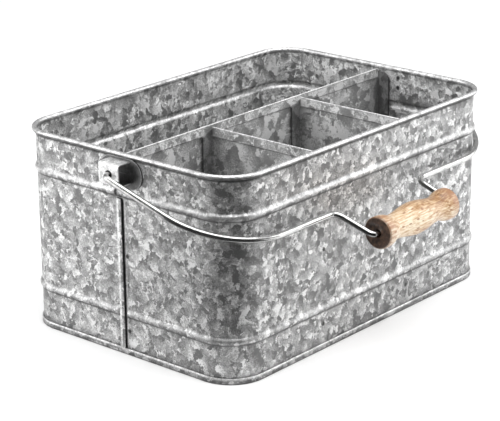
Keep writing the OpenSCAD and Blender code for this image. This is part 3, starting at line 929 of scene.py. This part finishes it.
bail = {
    "thick": 4.48,
    "rest": 17.6,  # degrees below the horizontal
    "pivot": 136.4,
    "around": 28,
    "corners": [(0.0, 145.814), (46.012, 145.814), (47.612, 112.614), (160.7, 112.614), (165.2, 0.0),
                (156.3, 0.0), (156.3, -5.8)],
    "radii": [0.0, 4.0, 8.4, 58.0, 5.0, 2.7, 0.0],
    "steps": (6.0, 7.0),  # degrees in a bend, mm along a straight
    "endRound": 0.35,
    "under": (0.02, 0.45, 0.65),  # where the painted shade on the underside begins, its soft edge, its share
    "jog": (1.0, 160.0, 40.0, 0.82),  # painted shade on the jogs: from the wide bend's reach, to where, past which side; how far round
}


def atRest(points):
    # From the bail's own plane (x, away from the pivots, across) to where it rests on the front corners
    a = math.radians(180.0 + bail["rest"])
    y, z = points[..., 1], points[..., 2]
    return stacked(points[..., 0], y * math.cos(a) - z * math.sin(a),
                   y * math.sin(a) + z * math.cos(a) + bail["pivot"])


def wireShell():
    # A circle carried along the flat path; its first and last rings are a little smaller
    bendStep, runStep = bail["steps"]
    half = withSteps(bentPath(bail["corners"], bail["radii"], bendStep), runStep)
    path = np.concatenate([half[::-1] * [-1.0, 1.0], half[1:]])
    ends = [0, *range(len(path)), len(path) - 1]  # both end rings twice
    along = np.concatenate([[0.0], np.cumsum(np.linalg.norm(np.diff(path, axis=0), axis=1))])[ends]
    side, path = sideways(path)[ends], path[ends]
    radius = np.full(len(path), bail["thick"] / 2)
    radius[[0, -1]] -= bail["endRound"]
    path[1] += unit(path[2] - path[1]) * bail["endRound"]
    path[-2] += unit(path[-3] - path[-2]) * bail["endRound"]
    turn = np.radians(np.arange(bail["around"]) * 360.0 / bail["around"])
    flat = path[:, None] + (radius[:, None] * np.cos(turn))[..., None] * side[:, None]
    rings = stacked(flat[..., 0], flat[..., 1], radius[:, None] * np.sin(turn))
    uv = stacked(np.abs(np.linspace(-1, 1, bail["around"])), along[:, None] * millimetre).reshape(-1, 2)
    # Painted shade below, and on the two jogs everywhere but on top
    after, before, past, more = bail["jog"]
    reach, aside = path[:, 1], np.abs(path[:, 0])
    jog = (smooth((reach - bail["corners"][2][1] - after) / 4.0) * smooth((before - reach) / 4.0)
           * smooth((aside - past) / 2.0))
    start, soft, share = bail["under"]
    under = share * smooth((np.sin(turn) - start + more * jog[:, None]) / soft)
    shell = roundTube(atRest(rings), {"grime": np.concatenate([under.ravel(), [0.0, 0.0]])})
    return shell, np.concatenate([uv, uv[:2]])


shell, uv = wireShell()
makePiece("bailWire", [shell], "bail", ["bail_wire"], wireFinish, uv=uv)


grip = {
    "length": 83.0,
    "belly": 23.4, "neck": 18.0, "end": 23.2,
    "neckInset": 17.0,
    "endBand": 5.0,
    "endRound": 1.8,
    "bore": 5.4,
    "boreRound": (0.9, 0.5, 6.0),  # how much wider its mouth is, its depth, and how far in it is finely cut
    "out": 145.814,
    "around": 96,
    "toast": (-13.0, 11.0, 0.85),  # from the end, width, share
    "sharp": 50.0,
}


def halfWave(share):
    # Half of a cosine wave, from nought to one
    return (1.0 - np.cos(math.pi * np.clip(share, 0.0, 1.0))) / 2


def gripRadius(at):
    # Half cosine waves from the belly down to the neck and up again to the end
    neckAt, flareAt = grip["length"] / 2 - grip["neckInset"], grip["length"] / 2 - grip["endBand"]
    inner = grip["belly"] + (grip["neck"] - grip["belly"]) * halfWave(at / neckAt)
    outer = grip["neck"] + (grip["end"] - grip["neck"]) * halfWave((at - neckAt) / (flareAt - neckAt))
    return np.where(at < neckAt, inner, outer) / 2


def gripShell():
    # The turned outline round its own axis, in through the end faces and along the bore
    half, r, bore = grip["length"] / 2, grip["endRound"], grip["bore"] / 2
    at = np.linspace(0.0, half - r, 60)
    outside = stacked(at, gripRadius(at))
    angle = np.radians(np.linspace(0.0, 90.0, 9))[1:]
    corner = stacked(half - r + r * np.sin(angle), grip["end"] / 2 - r + r * np.cos(angle))
    wider, deep, inwards = grip["boreRound"]
    face = [[half, grip["end"] / 2 - r - 0.4], [half, 8.0], [half, bore + wider], [half - deep, bore + 0.15],
            [half - 2 * deep, bore], [half - inwards, bore], [0.0, bore]]
    outline = np.concatenate([outside, corner, face])
    loop = np.concatenate([outline, (outline * [-1.0, 1.0])[-2:0:-1]])
    turn = np.radians(np.arange(grip["around"]) * 360.0 / grip["around"])[:, None]
    x, out = loop.T
    own = stacked(x, grip["out"] + out * np.cos(turn), out * np.sin(turn))
    fromEnd = half - np.abs(x)
    # The end faces and the edge beside them are stained; the bore is darkened as painted shade
    dirtAndShade = np.where((fromEnd < 0.5) | (out < bore + 0.5), 1.0, np.where(fromEnd < 1.5, 0.45, 0.0))
    toast = rising(-fromEnd, grip["toast"])
    rows = grip["around"]
    return {"points": atRest(own).reshape(-1, 3), "faces": [gridQuads(rows, len(loop), True, True)],
            "marks": tiled(rows, grime=dirtAndShade, inner=toast)}


makePiece("turnedGrip", [gripShell()], "grip", ["grip"], woodFinish, sharp=grip["sharp"])


# Weld marks

welds = {
    "radius": 1.6,
    "around": 20,
    # From the mark's rim in: distance from its middle in radii, height, grime
    "rings": [(1.25, -0.05, 0.0), (1.12, 0.07, 0.1), (1.0, 0.14, 0.35), (0.8, 0.056, 0.85),
              (0.5, 0.02, 0.97), (0.05, 0.0, 0.97)],
    # place (mm) and the way it faces
    "marks": [(-147.25, -3.0, z, -1, 0) for z in (18.0, 74.0)]
    + [(147.25, -3.0, z, 1, 0) for z in (18.0, 74.0)]
    + [(x, -100.75, z, 0, -1) for x in (-52.3, 45.5) for z in (19.0, 75.0)]
    + [(-148.4, 18.0, 139.5, -1, 0), (148.4, -18.0, 139.5, 1, 0)]
    + [(s * 146.75, s2 * 16.8, z, -s, 0) for s, s2 in ((1, -1), (-1, 1)) for z in (133.5, 141.5)]
    + [(42.0, 2.0, 137.3, 0, -1), (-57.7, 2.0, 137.3, 0, -1)],
}


def weldShells():
    # A shallow pit with a raised lip: rings of a small dish, copied to every mark
    share, high, grime = np.array(welds["rings"]).T[..., None]
    turn = np.radians(np.arange(welds["around"]) * 360.0 / welds["around"])
    across, up = share * welds["radius"] * np.cos(turn), share * welds["radius"] * np.sin(turn)
    dirtAndShade = np.concatenate([np.repeat(grime, welds["around"]), [0.0, grime[-1, 0]]])
    return [roundTube(stacked(x + nx * high - ny * across, y + ny * high + nx * across, z + up),
                      {"grime": dirtAndShade}) for x, y, z, nx, ny in welds["marks"]]


makePiece("weldMarks", weldShells(), "tub", [], zincSheet)


# Floor, light and camera

studio = {
    "floor": (0.93, 0.93, 0.93),
    "floorHalf": 9.0,
    "world": 0.42,
    "boxes": [
        # name, direction (x, y), distance, height, width x height, watts
        ("leftBox", (-0.72, 0.66), 1.25, 0.55, (1.0, 1.0), 7.5),
        ("rightBox", (0.80, -0.60), 1.35, 0.60, (1.1, 1.1), 9.0),
    ],
    "top": (1.7, 2.2, 44.0),  # height, size, watts
    "topPlace": (-0.15, -0.30),
    # The dark board: middle and width of its sweep in degrees, profile (distance, height), tone
    "flag": {"towards": -56.0, "wide": 100.0, "columns": 25,
             "profile": [(0.20, 0.002), (0.38, 0.002), (0.42, 0.04), (0.44, 0.42)], "dark": 0.02},
}


def softTone(name, pale, dark, scale, roughness):
    # A slow noise between two greys
    material, shader, at = newMaterial(name)
    tone = ramp(noise(at, scale), [(0.3, dark), (0.7, pale)])
    feed(shader, [("Base Color", tone), ("Roughness", roughness)])
    return material


def stageObject(name, points, faces, material):
    # Something that stands round the object and is no part of it
    mesh = bpy.data.meshes.new(name)
    mesh.from_pydata(points, [], faces)
    mesh.materials.append(material)
    thing = intoScene(name, mesh)
    return thing


def paleFloor():
    # A large flat square
    pale = softTone("paleFloor", studio["floor"], tuple(c * 0.985 for c in studio["floor"]), 3.0, 0.7)
    h = studio["floorHalf"]
    stageObject("paleFloor", [(-h, -h, 0), (h, -h, 0), (h, h, 0), (-h, h, 0)], [(0, 1, 2, 3)], pale)


def darkFlag():
    # A dark board bent round the near corner, which only reflections see: its profile swept through an angle
    flag = studio["flag"]
    out, up = np.array(flag["profile"]).T
    angle = np.radians(flag["towards"] + np.linspace(-0.5, 0.5, flag["columns"])[:, None] * flag["wide"])
    points = stacked(out * np.sin(angle), -out * np.cos(angle), up).reshape(-1, 3)
    board = softTone("darkFlag", (flag["dark"],) * 3, (flag["dark"] * 0.8,) * 3, 4.0, 0.9)
    thing = stageObject("darkFlag", points.tolist(), gridQuads(len(angle), len(out)).tolist(), board)
    thing.visible_camera = thing.visible_diffuse = thing.visible_shadow = False


def areaLight(name, place, target, size, watts):
    # A flat lamp that looks at its target, and that the camera doesn't see
    light = bpy.data.lights.new(name, "AREA")
    light.shape, light.size, light.size_y = "RECTANGLE", size[0], size[1]
    light.energy = watts
    lamp = intoScene(name, light)
    lamp.location = place
    lamp.rotation_euler = (Vector(target) - Vector(place)).to_track_quat("-Z", "Y").to_euler()
    lamp.visible_camera = False


def studioLight():
    # A soft box at each side, a wide one above, and a white world
    for name, (dx, dy), distance, height, size, watts in studio["boxes"]:
        areaLight(name, (dx * distance, dy * distance, height), (0, 0, 0.08), size, watts)
    height, size, watts = studio["top"]
    areaLight("topBox", (*studio["topPlace"], height), (0, 0, 0), (size, size), watts)
    world = bpy.data.worlds.new("studio")
    bpy.context.scene.world = world
    world.use_nodes = True
    feed(world.node_tree.nodes["Background"], [("Color", (1.0,) * 4), ("Strength", studio["world"])])


camera = {
    "place": (-1.0489, -0.8913, 0.5457),
    "azimuth": -49.28,
    "elevation": 19.16,
    "roll": -0.57,
    "focalPixels": 1946.5,
    "imagePixels": 500.0,  # the width
    "sensor": 36.0,
    "clip": (0.05, 30.0),
}


def placeCamera():
    # Axes from the azimuth and the elevation, turned about the line of sight by the roll
    az, el, roll = (math.radians(camera[k]) for k in ("azimuth", "elevation", "roll"))
    back = Vector((math.sin(az) * math.cos(el), -math.cos(az) * math.cos(el), math.sin(el)))
    right = Vector((math.cos(az), math.sin(az), 0.0))
    up = back.cross(right)
    turnedRight = math.cos(roll) * right + math.sin(roll) * up
    turnedUp = -math.sin(roll) * right + math.cos(roll) * up
    lens = bpy.data.cameras.new("photoView")
    lens.sensor_width = camera["sensor"]
    lens.lens = camera["sensor"] * camera["focalPixels"] / camera["imagePixels"]
    lens.clip_start, lens.clip_end = camera["clip"]
    view = intoScene("photoView", lens)
    view.matrix_world = Matrix.Translation(camera["place"]) @ Matrix(
        (turnedRight, turnedUp, back)).transposed().to_4x4()
    bpy.context.scene.camera = view


paleFloor()
darkFlag()
studioLight()
placeCamera()
bpy.context.scene.view_settings.view_transform = "Standard"
print("stage: floor, light and camera set")
